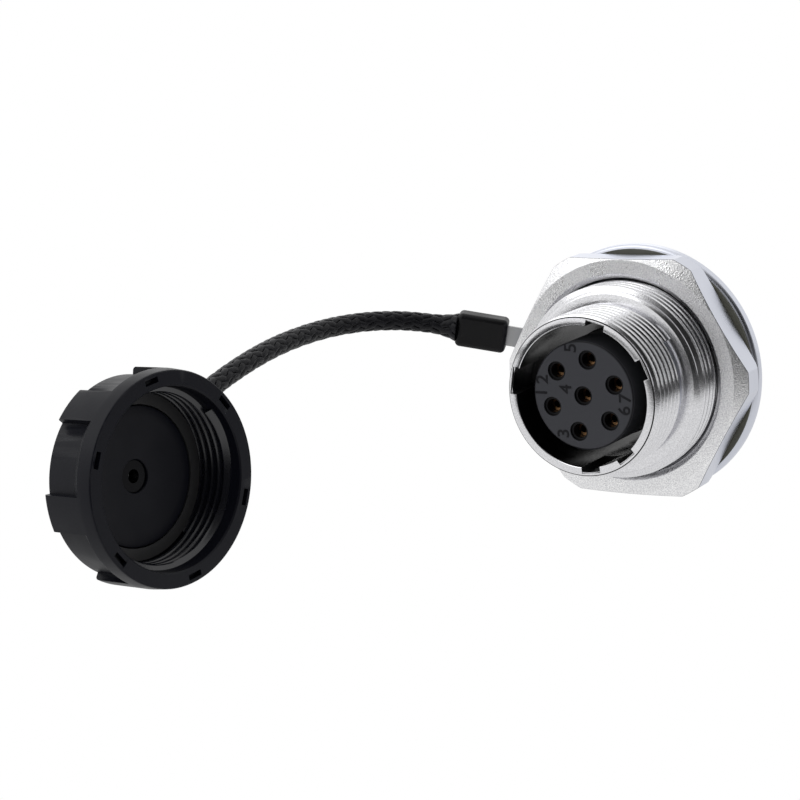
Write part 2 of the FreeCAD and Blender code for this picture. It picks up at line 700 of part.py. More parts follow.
# Cap eyelet
# Steel eye that the rivet turns in, stepped away from the cap into the second sleeve.
eyelet = new_body("cap_eyelet")
EYE_FRONT = "(sizes.cap_height + sizes.eyelet_gap)"
EYE_REAR = "(%s + sizes.eyelet_thickness)" % EYE_FRONT
turn(eyelet, [
    ("sizes.eyelet_hole_radius", EYE_FRONT),
    ("sizes.eyelet_radius", EYE_FRONT),
    ("sizes.eyelet_radius", EYE_REAR),
    ("sizes.eyelet_hole_radius", EYE_REAR),
], "eye")
tail = new_sketch(eyelet, "tail_profile", "XY_Plane")
TAIL_ROOT = "sizes.eyelet_hole_radius + 0.3 * sizes.eyelet_width"
draw_outline(tail, [
    (TAIL_ROOT, EYE_FRONT),
    ("sizes.eyelet_bend_start", EYE_FRONT),
    ("sizes.eyelet_bend_end", EYE_FRONT + " + sizes.eyelet_step"),
    ("sizes.eyelet_length", EYE_FRONT + " + sizes.eyelet_step"),
    ("sizes.eyelet_length", EYE_REAR + " + sizes.eyelet_step"),
    ("sizes.eyelet_bend_end - 0.5 * sizes.eyelet_thickness", EYE_REAR + " + sizes.eyelet_step"),
    ("sizes.eyelet_bend_start - 0.5 * sizes.eyelet_thickness", EYE_REAR),
    (TAIL_ROOT, EYE_REAR),
])
tail_pad = eyelet.newObject("PartDesign::Pad", "tail")
tail_pad.Profile = tail
tail_pad.SideType = "Symmetric"
tail_pad.setExpression("Length", "sizes.eyelet_tail_width")
doc.recompute()
on_cap(eyelet, "-sizes.eyelet_angle")

# Sleeves
# Black moulded sleeves that grip the cord's ends, one on the ring's tab, one on the eyelet.


def sleeve(label, metal_thickness, metal_width):
    """A rounded block along X whose near end has a slot for the metal strip."""
    body = new_body(label)
    block = body.newObject("PartDesign::AdditiveBox", label + "_block")
    block.AttachmentSupport = [(origin_plane(body, "XY_Plane"), "")]
    block.MapMode = "FlatFace"
    block.setExpression("Length", "sizes.sleeve_length")
    block.setExpression("Width", "sizes.sleeve_thickness")
    block.setExpression("Height", "sizes.sleeve_width")
    block.setExpression("AttachmentOffset.Base.y", "-0.5 * sizes.sleeve_thickness")
    block.setExpression("AttachmentOffset.Base.z", "-0.5 * sizes.sleeve_width")
    doc.recompute()
    rounds = body.newObject("PartDesign::Fillet", label + "_rounds")
    rounds.Base = (block, ["Edge%d" % number for number in range(1, len(block.Shape.Edges) + 1)])
    rounds.setExpression("Radius", "sizes.sleeve_round")
    doc.recompute()
    opening = body.newObject("PartDesign::SubtractiveBox", label + "_slot")
    opening.AttachmentSupport = [(origin_plane(body, "XY_Plane"), "")]
    opening.MapMode = "FlatFace"
    opening.setExpression("Length", "sizes.sleeve_slot_depth + 1")
    opening.setExpression("Width", metal_thickness)
    opening.setExpression("Height", metal_width)
    opening.setExpression("AttachmentOffset.Base.x", "-1")
    opening.setExpression("AttachmentOffset.Base.y", "-0.5 * %s" % metal_thickness)
    opening.setExpression("AttachmentOffset.Base.z", "-0.5 * %s" % metal_width)
    doc.recompute()
    return body


# The bent tab's middle line starts at the bend, half a thickness in front of the gasket.
TAB_MIDDLE = "(-sizes.gasket_thickness - 0.5 * sizes.ring_thickness)"
SLEEVE_REACH = "sizes.tab_show"
SLEEVE_OUT = "(sizes.tab_bend_start + 0.5 * sizes.ring_thickness * tan(sizes.tab_bend / 2) + %s)" % SLEEVE_REACH
SLEEVE_FORWARD = "(%s - %s * tan(sizes.tab_bend))" % (TAB_MIDDLE, SLEEVE_REACH)
ring_sleeve = sleeve("ring_sleeve", "sizes.ring_thickness", "sizes.tab_width")
ring_sleeve.setExpression(
    "Placement",
    "placement(vector(%s * cos(sizes.tab_angle); %s; %s * sin(sizes.tab_angle));"
    " rotation(vector(0; 1; 0); -sizes.tab_angle) * rotation(vector(0; 0; 1); -sizes.tab_bend))"
    % (SLEEVE_OUT, SLEEVE_FORWARD, SLEEVE_OUT))

cap_sleeve = sleeve("cap_sleeve", "sizes.eyelet_thickness", "sizes.eyelet_tail_width")
CORD_STATION = "(%s + sizes.eyelet_step + 0.5 * sizes.eyelet_thickness)" % EYE_FRONT
EYELET_TURN = "rotation(vector(0; 1; 0); -sizes.eyelet_angle)"
cap_sleeve.setExpression(
    "Placement",
    "placement(%s; %s * %s) * placement(vector(sizes.cap_sleeve_start; %s; 0); rotation(0; 0; 0))"
    % (CAP_CENTRE, CAP_TURN, EYELET_TURN, CORD_STATION))
doc.recompute()

# Cord
# Braided cord, round in section, along straight runs joined by tangent arcs. Its ends
# leave both sleeves squarely, and the points between them are the course it holds.
reach = size("sleeve_length")
cap_exit = cap_sleeve.Placement.multVec(Vector(reach, 0, 0))
cap_lead = cap_sleeve.Placement.multVec(Vector(reach + size("cord_cap_run"), 0, 0))
ring_exit = ring_sleeve.Placement.multVec(Vector(reach, 0, 0))
ring_lead = ring_sleeve.Placement.multVec(Vector(reach + size("cord_ring_run"), 0, 0))
ROUTE = [
    (-33.85, -39.6, 4.3),
    (-33.9, -32.6, 5.75),
    (-34.1, -25.9, 6.5),
    (-34.0, -19.5, 6.75),
    (-33.2, -13.9, 6.75),
    (-30.9, -9.3, 6.6),
]
ARC_SHARE = 0.45
route = [cap_exit, cap_lead] + [Vector(*point) for point in ROUTE] + [ring_lead, ring_exit]


def rounded_path(points):
    """Straight runs with an arc at each inner point, as large as its two runs allow."""
    edges = []
    radii = []
    at = points[0]
    for before, corner, after in zip(points, points[1:], points[2:]):
        back = before - corner
        ahead = after - corner
        trim = ARC_SHARE * min(back.Length, ahead.Length)
        half_turn = (math.pi - back.getAngle(ahead)) / 2
        back.normalize()
        ahead.normalize()
        arc_start = corner + back * trim
        arc_end = corner + ahead * trim
        radius = trim / math.tan(half_turn)
        inward = back + ahead
        inward.normalize()
        middle = corner + inward * (radius / math.cos(half_turn) - radius)
        edges.append(Part.LineSegment(at, arc_start).toShape())
        edges.append(Part.Arc(arc_start, middle, arc_end).toShape())
        radii.append(radius)
        at = arc_end
    edges.append(Part.LineSegment(at, points[-1]).toShape())
    return Part.Wire(edges), radii


path, bend_radii = rounded_path(route)
section = Part.Circle(route[0], route[1] - route[0], size("cord_diameter") / 2)
cord_shape = path.makePipeShell([Part.Wire(section.toShape())], True, False)
cord = doc.addObject("Part::Feature", "lanyard_cord")
cord.Label = "lanyard_cord"
cord.Shape = cord_shape
cord.Placement = FreeCAD.Placement()
parts.append(cord)
doc.recompute()
expected = math.pi * size("cord_diameter") ** 2 / 4 * path.Length
print("route in mm", [tuple(round(value, 2) for value in point) for point in route])
print("cord length %.2f, bend radii %s" % (path.Length, [round(radius, 1) for radius in bend_radii]))
print("cord volume %.2f, section times length %.2f" % (cord_shape.Volume, expected))

# Checks and export
for item in doc.Objects:
    if "Invalid" in item.State or "Error" in item.State:
        raise RuntimeError("%s did not compute" % item.Label)
os.makedirs("parts", exist_ok=True)
for item in parts:
    if item.Shape.isNull() or not item.Shape.isValid():
        raise RuntimeError("%s has no sound shape" % item.Label)
    item.Shape.exportStep(os.path.join("parts", item.Label + ".step"))
print("wrote %d parts" % len(parts))
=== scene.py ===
import bpy
import bmesh
from math import atan2, cos, hypot, inf, pi, radians, sin
from mathutils import Matrix, Vector


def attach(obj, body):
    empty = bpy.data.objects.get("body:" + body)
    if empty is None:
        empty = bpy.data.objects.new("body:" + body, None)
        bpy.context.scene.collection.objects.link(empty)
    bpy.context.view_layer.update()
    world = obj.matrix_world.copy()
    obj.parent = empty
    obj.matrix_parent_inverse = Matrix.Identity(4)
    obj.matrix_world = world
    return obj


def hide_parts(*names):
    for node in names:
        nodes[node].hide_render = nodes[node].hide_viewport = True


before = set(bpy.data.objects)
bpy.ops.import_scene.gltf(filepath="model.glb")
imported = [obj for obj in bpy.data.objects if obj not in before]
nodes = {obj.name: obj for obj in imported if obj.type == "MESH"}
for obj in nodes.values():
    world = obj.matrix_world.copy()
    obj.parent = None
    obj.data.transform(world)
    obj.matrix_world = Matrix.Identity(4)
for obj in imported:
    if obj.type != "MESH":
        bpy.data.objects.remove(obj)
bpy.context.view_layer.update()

MM = 0.001
scene = bpy.context.scene
scene.view_settings.view_transform = "Standard"

# Camera
# A 100 mm lens on a 36 mm sensor, to the right of the mouth and a little above it, where the
# photograph was taken from.
CAMERA_PLACE = (114.32, -234.70, 52.61)
CAMERA_SIGHT = (-0.5226, 0.8276, -0.2049)
CAMERA_UPWARD = (-0.0547, 0.2072, 0.9768)
camera = bpy.data.objects.new("camera", bpy.data.cameras.new("camera"))
scene.collection.objects.link(camera)
camera.data.lens = 100.0
camera.data.sensor_width = 36.0
camera.data.clip_start = 0.005
camera.data.clip_end = 20.0
sight = Vector(CAMERA_SIGHT).normalized()
sideways = sight.cross(Vector(CAMERA_UPWARD)).normalized()
upward = sideways.cross(sight).normalized()
facing = Matrix((sideways, upward, -sight)).transposed().to_4x4()
camera.matrix_world = Matrix.Translation(Vector(CAMERA_PLACE) * MM) @ facing
scene.camera = camera

# Studio
# A pale floor just under the flange's lowest point, a white surround and two soft lamps. Metal
# mirrors both as white that falls off to black on the camera's side. The camera itself sees
# white, and sees through the floor, because the cap hangs below it at some poses.
FLOOR_HEIGHT = -15.35 * MM
FLOOR_SIZE = 6.0
FLOOR_TONE = (0.90, 0.90, 0.90)
SKY_TONE = (0.76, 0.76, 0.77)
LAMP_AIM = Vector((-0.012, -0.025, 0.0))
bpy.ops.mesh.primitive_plane_add(size=FLOOR_SIZE, location=(0, 0, FLOOR_HEIGHT))
floor = bpy.context.object
floor.name = "floor"


def seen_directly(tree, share):
    """A share that camera, glossy and transmission rays get, others none, and Is Camera Ray."""
    rays = tree.nodes.new("ShaderNodeLightPath")
    metal = tree.nodes.new("ShaderNodeMath")
    metal.operation = "MAXIMUM"
    glass = tree.nodes.new("ShaderNodeMath")
    glass.operation = "MAXIMUM"
    part = tree.nodes.new("ShaderNodeMath")
    part.operation = "MULTIPLY"
    part.inputs[1].default_value = share
    tree.links.new(rays.outputs["Is Camera Ray"], metal.inputs[0])
    tree.links.new(rays.outputs["Is Glossy Ray"], metal.inputs[1])
    tree.links.new(metal.outputs[0], glass.inputs[0])
    tree.links.new(rays.outputs["Is Transmission Ray"], glass.inputs[1])
    tree.links.new(glass.outputs[0], part.inputs[0])
    return part.outputs[0], rays.outputs["Is Camera Ray"]


def falls_off(tree, camera_ray, source, towards, near, far, bright, dim):
    """White that turns from bright to dim towards one side, but stays white to the camera."""
    place = tree.nodes.new("ShaderNodeTexCoord")
    measure = tree.nodes.new("ShaderNodeVectorMath")
    measure.operation = "DOT_PRODUCT"
    measure.inputs[1].default_value = Vector(towards).normalized()
    fade = tree.nodes.new("ShaderNodeMapRange")
    fade.interpolation_type = "SMOOTHSTEP"
    fade.inputs["From Min"].default_value = near
    fade.inputs["From Max"].default_value = far
    fade.inputs["To Min"].default_value = bright
    fade.inputs["To Max"].default_value = dim
    white = tree.nodes.new("ShaderNodeMath")
    white.operation = "MAXIMUM"
    tree.links.new(place.outputs[source], measure.inputs[0])
    tree.links.new(measure.outputs["Value"], fade.inputs["Value"])
    tree.links.new(fade.outputs["Result"], white.inputs[0])
    tree.links.new(camera_ray, white.inputs[1])
    return white.outputs[0]


floor_paint = bpy.data.materials.new("floor_white")
floor_paint.use_nodes = True
tree = floor_paint.node_tree
tree.nodes.clear()
floor_out = tree.nodes.new("ShaderNodeOutputMaterial")
floor_matt = tree.nodes.new("ShaderNodeBsdfDiffuse")
floor_matt.inputs["Color"].default_value = (*FLOOR_TONE, 1)
floor_glow = tree.nodes.new("ShaderNodeEmission")
floor_glow.inputs["Strength"].default_value = 1.0
floor_clear = tree.nodes.new("ShaderNodeBsdfTransparent")
floor_mix = tree.nodes.new("ShaderNodeMixShader")
floor_seen = tree.nodes.new("ShaderNodeMixShader")
floor_share, floor_camera = seen_directly(tree, 0.972)
floor_white = falls_off(tree, floor_camera, "Object", (0.74, -0.67, 0.0),
                        near=0.040, far=0.080, bright=0.84, dim=0.04)
tree.links.new(floor_white, floor_glow.inputs["Color"])
tree.links.new(floor_share, floor_mix.inputs["Fac"])
tree.links.new(floor_matt.outputs[0], floor_mix.inputs[1])
tree.links.new(floor_glow.outputs[0], floor_mix.inputs[2])
tree.links.new(floor_camera, floor_seen.inputs["Fac"])
tree.links.new(floor_mix.outputs[0], floor_seen.inputs[1])
tree.links.new(floor_clear.outputs[0], floor_seen.inputs[2])
tree.links.new(floor_seen.outputs[0], floor_out.inputs["Surface"])
floor.data.materials.append(floor_paint)

surround = bpy.data.worlds.new("surround")
scene.world = surround
surround.use_nodes = True
tree = surround.node_tree
tree.nodes.clear()
sky_out = tree.nodes.new("ShaderNodeOutputWorld")
sky_seen = tree.nodes.new("ShaderNodeBackground")
sky_lit = tree.nodes.new("ShaderNodeBackground")
sky_lit.inputs["Color"].default_value = (*SKY_TONE, 1)
sky_mix = tree.nodes.new("ShaderNodeMixShader")
sky_share, sky_camera = seen_directly(tree, 1.0)
sky_white = falls_off(tree, sky_camera, "Generated", (0.62, -0.71, 0.33),
                      near=0.60, far=0.84, bright=0.94, dim=0.02)
tree.links.new(sky_white, sky_seen.inputs["Color"])
tree.links.new(sky_share, sky_mix.inputs["Fac"])
tree.links.new(sky_lit.outputs[0], sky_mix.inputs[1])
tree.links.new(sky_seen.outputs[0], sky_mix.inputs[2])
tree.links.new(sky_mix.outputs[0], sky_out.inputs["Surface"])

for lamp_name, place, reach, power in (
    ("key_lamp", (-0.22, -0.28, 0.37), 0.50, 0.60),
    ("back_lamp", (-0.30, 0.34, 0.34), 0.50, 0.32),
):
    lamp = bpy.data.objects.new(lamp_name, bpy.data.lights.new(lamp_name, "AREA"))
    lamp.data.shape = "DISK"
    lamp.data.size = reach
    lamp.data.energy = power
    lamp.location = place
    lamp.rotation_euler = (LAMP_AIM - lamp.location).to_track_quat("-Z", "Y").to_euler()
    scene.collection.objects.link(lamp)

# Lanyard cord
# Black braid of long flat strands over a soft core, 2.4 mm thick, pushed into a moulded
# sleeve at each end, where the strands spread. It holds one smooth curve from sleeve to sleeve.
ROUTE = (
    (-22.59, -3.69, 5.05), (-26.91, -5.54, 6.02), (-30.9, -9.3, 6.6), (-33.2, -13.9, 6.75),
    (-34.0, -19.5, 6.75), (-34.1, -25.9, 6.5), (-33.9, -32.6, 5.75), (-33.85, -39.6, 4.3),
    (-33.38, -43.71, 3.01), (-33.85, -47.02, 1.65),
)
CORD_STEP = 0.16 * MM
route_line = bpy.data.curves.new("cord_line", "CURVE")
route_line.dimensions = "3D"
route_spline = route_line.splines.new("NURBS")
route_spline.points.add(len(ROUTE) - 1)
for point, place in zip(route_spline.points, ROUTE):
    point.co = (place[0] * MM, place[1] * MM, place[2] * MM, 1.0)
route_spline.order_u = 3
route_spline.use_endpoint_u = True
route_spline.resolution_u = 40
route_guide = bpy.data.objects.new("cord_line", route_line)
scene.collection.objects.link(route_guide)
bpy.context.view_layer.update()
route_mesh = bpy.data.meshes.new_from_object(route_guide)
line = [vertex.co.copy() for vertex in route_mesh.vertices]
bpy.data.objects.remove(route_guide)
bpy.data.meshes.remove(route_mesh)

# The line is walked in equal steps, with a frame that doesn't twist along it.
run = [0.0]
for before, after in zip(line, line[1:]):
    run.append(run[-1] + (after - before).length)
cord_length = run[-1]
walk = []
segment = 0
for k in range(int(cord_length / CORD_STEP) + 1):
    along = min(k * CORD_STEP, cord_length)
    while segment < len(run) - 2 and run[segment + 1] < along:
        segment += 1
    share = (along - run[segment]) / (run[segment + 1] - run[segment])
    walk.append((along, line[segment].lerp(line[segment + 1], share)))
walk.append((cord_length, line[-1]))
frames = []
side = Vector((0, 0, 1))
for k, (along, place) in enumerate(walk):
    ahead = (walk[min(k + 1, len(walk) - 1)][1] - walk[max(k - 1, 0)][1]).normalized()
    side = (side - ahead * side.dot(ahead)).normalized()
    frames.append((along, place, side, ahead.cross(side)))

# Strands wind both ways and weave: each rises over one crossing and sinks under the next.
BRAID_RADIUS = 1.05 * MM
BRAID_STRANDS = 8
BRAID_LAY = 20.0 * MM
BRAID_FLARE = 0.55 * MM
FLARE_REACH = 3.4 * MM
CORE_SWELL = 0.005 * MM
CORE_SIDES = 16
CORE_EVERY = 3
STRAND_WIDTH = 0.43 * MM
STRAND_THICKNESS = 0.08 * MM
STRAND_UNDERSIDE = 0.6
STRAND_LIFT = 0.02 * MM
STRAND_WAVE = 0.045 * MM
WAVE_STEEPNESS = 1.5
STRAND_SECTION = (
    (-1.0, -0.2), (-0.72, 0.55), (-0.25, 1.0), (0.25, 1.0), (0.72, 0.55), (1.0, -0.2), (0.0, -0.8),
)
braid = bmesh.new()
braid_uv = braid.loops.layers.uv.new("strand")


def flare(along):
    """How far the braid spreads near a sleeve."""
    from_end = min(along, cord_length - along) / FLARE_REACH
    return BRAID_FLARE * max(0.0, 1.0 - from_end) ** 2


core_rings = []
for along, place, side, across in frames[::CORE_EVERY] + [frames[-1]]:
    core_radius = BRAID_RADIUS + CORE_SWELL + flare(along)
    core_rings.append([braid.verts.new(place + (side * cos(t) + across * sin(t)) * core_radius)
                       for t in [2 * pi * k / CORE_SIDES for k in range(CORE_SIDES)]])
for ring_a, ring_b in zip(core_rings, core_rings[1:]):
    for k in range(CORE_SIDES):
        after = (k + 1) % CORE_SIDES
        braid.faces.new((ring_a[k], ring_a[after], ring_b[after], ring_b[k]))
braid.faces.new(list(reversed(core_rings[0])))
braid.faces.new(core_rings[-1])
corners = len(STRAND_SECTION)
for turn_way in (1, -1):
    for strand in range(BRAID_STRANDS):
        rings = []
        for along, place, side, across in frames:
            sweep = turn_way * 2 * pi * along / BRAID_LAY
            theta = sweep + 2 * pi * strand / BRAID_STRANDS
            crossing = 2 * BRAID_STRANDS * along / BRAID_LAY
            wave = turn_way * max(-1.0, min(1.0, WAVE_STEEPNESS * cos(pi * crossing)))
            radius = BRAID_RADIUS + flare(along) + STRAND_WAVE * wave + STRAND_LIFT
            spread = 1.0 + flare(along) / BRAID_RADIUS
            ring = []
            for wide, high in STRAND_SECTION:
                angle = theta + wide * STRAND_WIDTH * spread / radius
                out = radius + high * STRAND_THICKNESS * (1.0 if high > 0 else STRAND_UNDERSIDE)
                spot = place + (side * cos(angle) + across * sin(angle)) * out
                ring.append(braid.verts.new(spot))
            rings.append((along, ring))
        for (along_a, ring_a), (along_b, ring_b) in zip(rings, rings[1:]):
            for k in range(corners):
                after = (k + 1) % corners
                face = braid.faces.new((ring_a[k], ring_a[after], ring_b[after], ring_b[k]))
                face.smooth = True
                marks = ((k, along_a), (k + 1, along_a), (k + 1, along_b), (k, along_b))
                for loop, (u, v) in zip(face.loops, marks):
                    loop[braid_uv].uv = (u / corners, v / MM)
        braid.faces.new(list(reversed(rings[0][1])))
        braid.faces.new(rings[-1][1])
bmesh.ops.recalc_face_normals(braid, faces=braid.faces)
braid_mesh = bpy.data.meshes.new("lanyard_braid")
braid.to_mesh(braid_mesh)
braid.free()
lanyard_braid = bpy.data.objects.new("lanyard_braid", braid_mesh)
scene.collection.objects.link(lanyard_braid)


def new_finish(name, colour, metallic=0.0, specular=0.5):
    """A material with its Principled shader, for one finish of the object."""
    finish = bpy.data.materials.new(name)
    finish.use_nodes = True
    shader = finish.node_tree.nodes["Principled BSDF"]
    shader.inputs["Base Color"].default_value = (*colour, 1)
    shader.inputs["Metallic"].default_value = metallic
    shader.inputs["Specular IOR Level"].default_value = specular
    return finish, finish.node_tree, shader


# Fine streaks along each strand, in its tone and in its height.
YARN_DARK = (0.002, 0.002, 0.003)
YARN_LIGHT = (0.012, 0.012, 0.015)
braid_finish, tree, shader = new_finish("braided_yarn", YARN_LIGHT, specular=0.18)
shader.inputs["Roughness"].default_value = 0.40
yarn_place = tree.nodes.new("ShaderNodeUVMap")
yarn_place.uv_map = "strand"
yarn_stretch = tree.nodes.new("ShaderNodeMapping")
yarn_stretch.inputs["Scale"].default_value = (34.0, 1.6, 1.0)
yarn_noise = tree.nodes.new("ShaderNodeTexNoise")
yarn_noise.inputs["Scale"].default_value = 1.0
yarn_noise.inputs["Detail"].default_value = 3.0
yarn_tone = tree.nodes.new("ShaderNodeValToRGB")
yarn_tone.color_ramp.elements[0].position = 0.35
yarn_tone.color_ramp.elements[0].color = (*YARN_DARK, 1)
yarn_tone.color_ramp.elements[1].position = 0.72
yarn_tone.color_ramp.elements[1].color = (*YARN_LIGHT, 1)
yarn_bump = tree.nodes.new("ShaderNodeBump")
yarn_bump.inputs["Strength"].default_value = 0.6
yarn_bump.inputs["Distance"].default_value = 0.03 * MM
tree.links.new(yarn_place.outputs[0], yarn_stretch.inputs["Vector"])
tree.links.new(yarn_stretch.outputs[0], yarn_noise.inputs["Vector"])
tree.links.new(yarn_noise.outputs["Fac"], yarn_tone.inputs["Fac"])
tree.links.new(yarn_tone.outputs["Color"], shader.inputs["Base Color"])
tree.links.new(yarn_noise.outputs["Fac"], yarn_bump.inputs["Height"])
tree.links.new(yarn_bump.outputs["Normal"], shader.inputs["Normal"])
lanyard_braid.data.materials.append(braid_finish)
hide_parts("lanyard_cord")
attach(lanyard_braid, "lanyard")

# Receptacle shell
# One turned and plated metal piece: mating barrel, shoulder, panel thread, flange and
# rear barrel, with five keyways broached in the bore. Its threads follow as their own ridges.
MOUTH = -15.4
SHELL_STEPS = 160
SHELL_PROFILE = (
    # The rim, with its outer edge bevelled.
    (8.26, 0.06), (8.32, 0.0), (9.13, 0.0), (9.2, 0.04), (9.25, 0.12), (8.9, 0.32),
    # The mating barrel under its thread, and the relief behind that.
    (8.92, 0.6), (8.92, 7.25), (8.90, 7.62), (8.95, 7.65),
    # The shoulder, and the barrel under the panel thread.
    (10.52, 7.65), (10.62, 7.69), (10.87, 7.95), (10.87, 14.0), (10.87, 15.38), (10.87, 15.4),
    # The flange.
    (14.84, 15.4), (14.88, 15.42), (15.12, 15.66), (15.15, 15.72),
    (15.15, 16.63), (15.09, 16.71), (14.97, 16.75),
    # The rear barrel, with a groove round it.
    (9.95, 16.75), (9.9, 16.8), (9.9, 18.9), (9.85, 18.95), (9.3, 18.95),
    (9.3, 20.15), (9.85, 20.15), (9.9, 20.2), (9.9, 22.2), (9.55, 22.55),
    # The rear bore, the step that carries the insert, and the bore at the mouth.
    (8.68, 22.55), (8.6, 22.47), (8.6, 10.4), (6.45, 10.4), (6.45, 9.2), (8.26, 9.2),
)
KEYWAYS = ((75.3, 2.35), (24.0, 2.35), (-51.0, 2.35), (-84.0, 2.35), (170.0, 3.15))
KEYWAY_RADIUS = 8.88
KEYWAY_DEPTH = 6.0
KEYWAY_CUTTER = 1.6
KEYWAY_OVERRUN = 1.0
WELD = 1e-6


def deselect_everything():
    """Nothing that an operator could still reach stays selected."""
    if bpy.context.object and bpy.context.object.mode != "OBJECT":
        bpy.ops.object.mode_set(mode="OBJECT")
    bpy.ops.object.select_all(action="DESELECT")


def select_only(piece):
    """The piece that the next operators work on."""
    deselect_everything()
    piece.select_set(True)
    bpy.context.view_layer.objects.active = piece


def draw_line(name, points):
    """A closed line, drawn from one point by extruding it in the plane of X and Y."""
    deselect_everything()
    bpy.ops.mesh.primitive_plane_add(size=MM, location=(0, 0, 0), enter_editmode=True)
    bpy.ops.mesh.select_mode(type="VERT")
    piece = bpy.context.object
    piece.name = name
    piece.data.name = name
    bpy.ops.mesh.select_all(action="SELECT")
    bpy.ops.mesh.merge(type="CENTER")
    at = Vector((0, 0, 0))
    goal = Vector((points[0][0], points[0][1], 0)) * MM
    bpy.ops.transform.translate(value=goal - at)
    at = goal
    for across, along in points[1:]:
        goal = Vector((across, along, 0)) * MM
        bpy.ops.mesh.extrude_region_move(TRANSFORM_OT_translate={"value": goal - at})
        at = goal
    bpy.ops.mesh.select_all(action="DESELECT")
    edges = bmesh.from_edit_mesh(piece.data)
    for vertex in edges.verts:
        vertex.select = len(vertex.link_edges) == 1
    bmesh.update_edit_mesh(piece.data)
    bpy.ops.mesh.edge_face_add()
    bpy.ops.mesh.select_all(action="SELECT")
    return piece


def spin_line(steps, angle):
    """The line or face that was drawn is spun about the Y axis into a solid."""
    bpy.ops.mesh.spin(steps=steps, angle=angle, center=(0, 0, 0), axis=(0, 1, 0))
    bpy.ops.mesh.select_all(action="SELECT")
    bpy.ops.mesh.remove_doubles(threshold=WELD)
    bpy.ops.mesh.normals_make_consistent(inside=False)
    bpy.ops.object.mode_set(mode="OBJECT")


def turned(name, points, steps):
    """A piece turned about the Y axis from its outline of (radius, station) points in mm."""
    piece = draw_line(name, points)
    spin_line(steps, 2 * pi)
    bpy.ops.object.shade_smooth_by_angle(angle=radians(35))
    return piece


def put(piece, matrix):
    """The piece's place goes into its mesh, so that its object stays at the origin."""
    select_only(piece)
    piece.matrix_world = matrix
    bpy.ops.object.transform_apply(location=True, rotation=True, scale=True)


def box_cutter(size, centre, matrix):
    """A box to cut with, its size and centre in mm, put in its place."""
    deselect_everything()
    bpy.ops.mesh.primitive_cube_add(size=1.0)
    cutter = bpy.context.object
    cutter.scale = [value * MM for value in size]
    cutter.location = [value * MM for value in centre]
    bpy.ops.object.transform_apply(location=True, rotation=True, scale=True)
    put(cutter, matrix)
    return cutter


def cut_with(piece, cutters, way="DIFFERENCE"):
    """Cutters taken from a piece one after another, or kept where they meet it."""
    for cutter in cutters:
        select_only(piece)
        step = piece.modifiers.new("cut", "BOOLEAN")
        step.operation = way
        step.solver = "EXACT"
        step.object = cutter
        bpy.ops.object.modifier_apply(modifier=step.name)
        bpy.data.objects.remove(cutter)


shell_body = turned("shell_body", SHELL_PROFILE, SHELL_STEPS)
put(shell_body, Matrix.Translation((0, MOUTH * MM, 0)))
cut_with(shell_body, [
    box_cutter((KEYWAY_CUTTER, KEYWAY_DEPTH + KEYWAY_OVERRUN, key_width),
               (KEYWAY_RADIUS - 0.5 * KEYWAY_CUTTER, 0.5 * (KEYWAY_DEPTH - KEYWAY_OVERRUN), 0),
               Matrix.Translation((0, MOUTH * MM, 0))
               @ Matrix.Rotation(-radians(key_angle), 4, "Y"))
    for key_angle, key_width in KEYWAYS
])
bpy.ops.object.shade_smooth_by_angle(angle=radians(30))

# The grain group gives a fine height, a speckle that goes with it, and a broader roughness.
grain = bpy.data.node_groups.new("grain", "ShaderNodeTree")
for way, socket_names in (
    ("INPUT", ("Fine Scale", "Broad Scale", "Low", "High")),
    ("OUTPUT", ("Height", "Roughness", "Speckle")),
):
    for socket_name in socket_names:
        grain.interface.new_socket(socket_name, in_out=way, socket_type="NodeSocketFloat")
grain_in = grain.nodes.new("NodeGroupInput")
grain_out = grain.nodes.new("NodeGroupOutput")
grain_place = grain.nodes.new("ShaderNodeTexCoord")
grain_fine = grain.nodes.new("ShaderNodeTexNoise")
grain_fine.inputs["Detail"].default_value = 2.0
grain_broad = grain.nodes.new("ShaderNodeTexNoise")
grain_broad.inputs["Detail"].default_value = 3.0
grain_range = grain.nodes.new("ShaderNodeMapRange")
grain_range.inputs["From Min"].default_value = 0.3
grain_range.inputs["From Max"].default_value = 0.7
grain_speck = grain.nodes.new("ShaderNodeMapRange")
grain_speck.inputs["From Min"].default_value = 0.35
grain_speck.inputs["From Max"].default_value = 0.65
for noise, socket_name in ((grain_fine, "Fine Scale"), (grain_broad, "Broad Scale")):
    grain.links.new(grain_place.outputs["Object"], noise.inputs["Vector"])
    grain.links.new(grain_in.outputs[socket_name], noise.inputs["Scale"])
grain.links.new(grain_broad.outputs["Fac"], grain_range.inputs["Value"])
grain.links.new(grain_in.outputs["Low"], grain_range.inputs["To Min"])
grain.links.new(grain_in.outputs["High"], grain_range.inputs["To Max"])
grain.links.new(grain_fine.outputs["Fac"], grain_speck.inputs["Value"])
grain.links.new(grain_fine.outputs["Fac"], grain_out.inputs["Height"])
grain.links.new(grain_range.outputs["Result"], grain_out.inputs["Roughness"])
grain.links.new(grain_speck.outputs["Result"], grain_out.inputs["Speckle"])


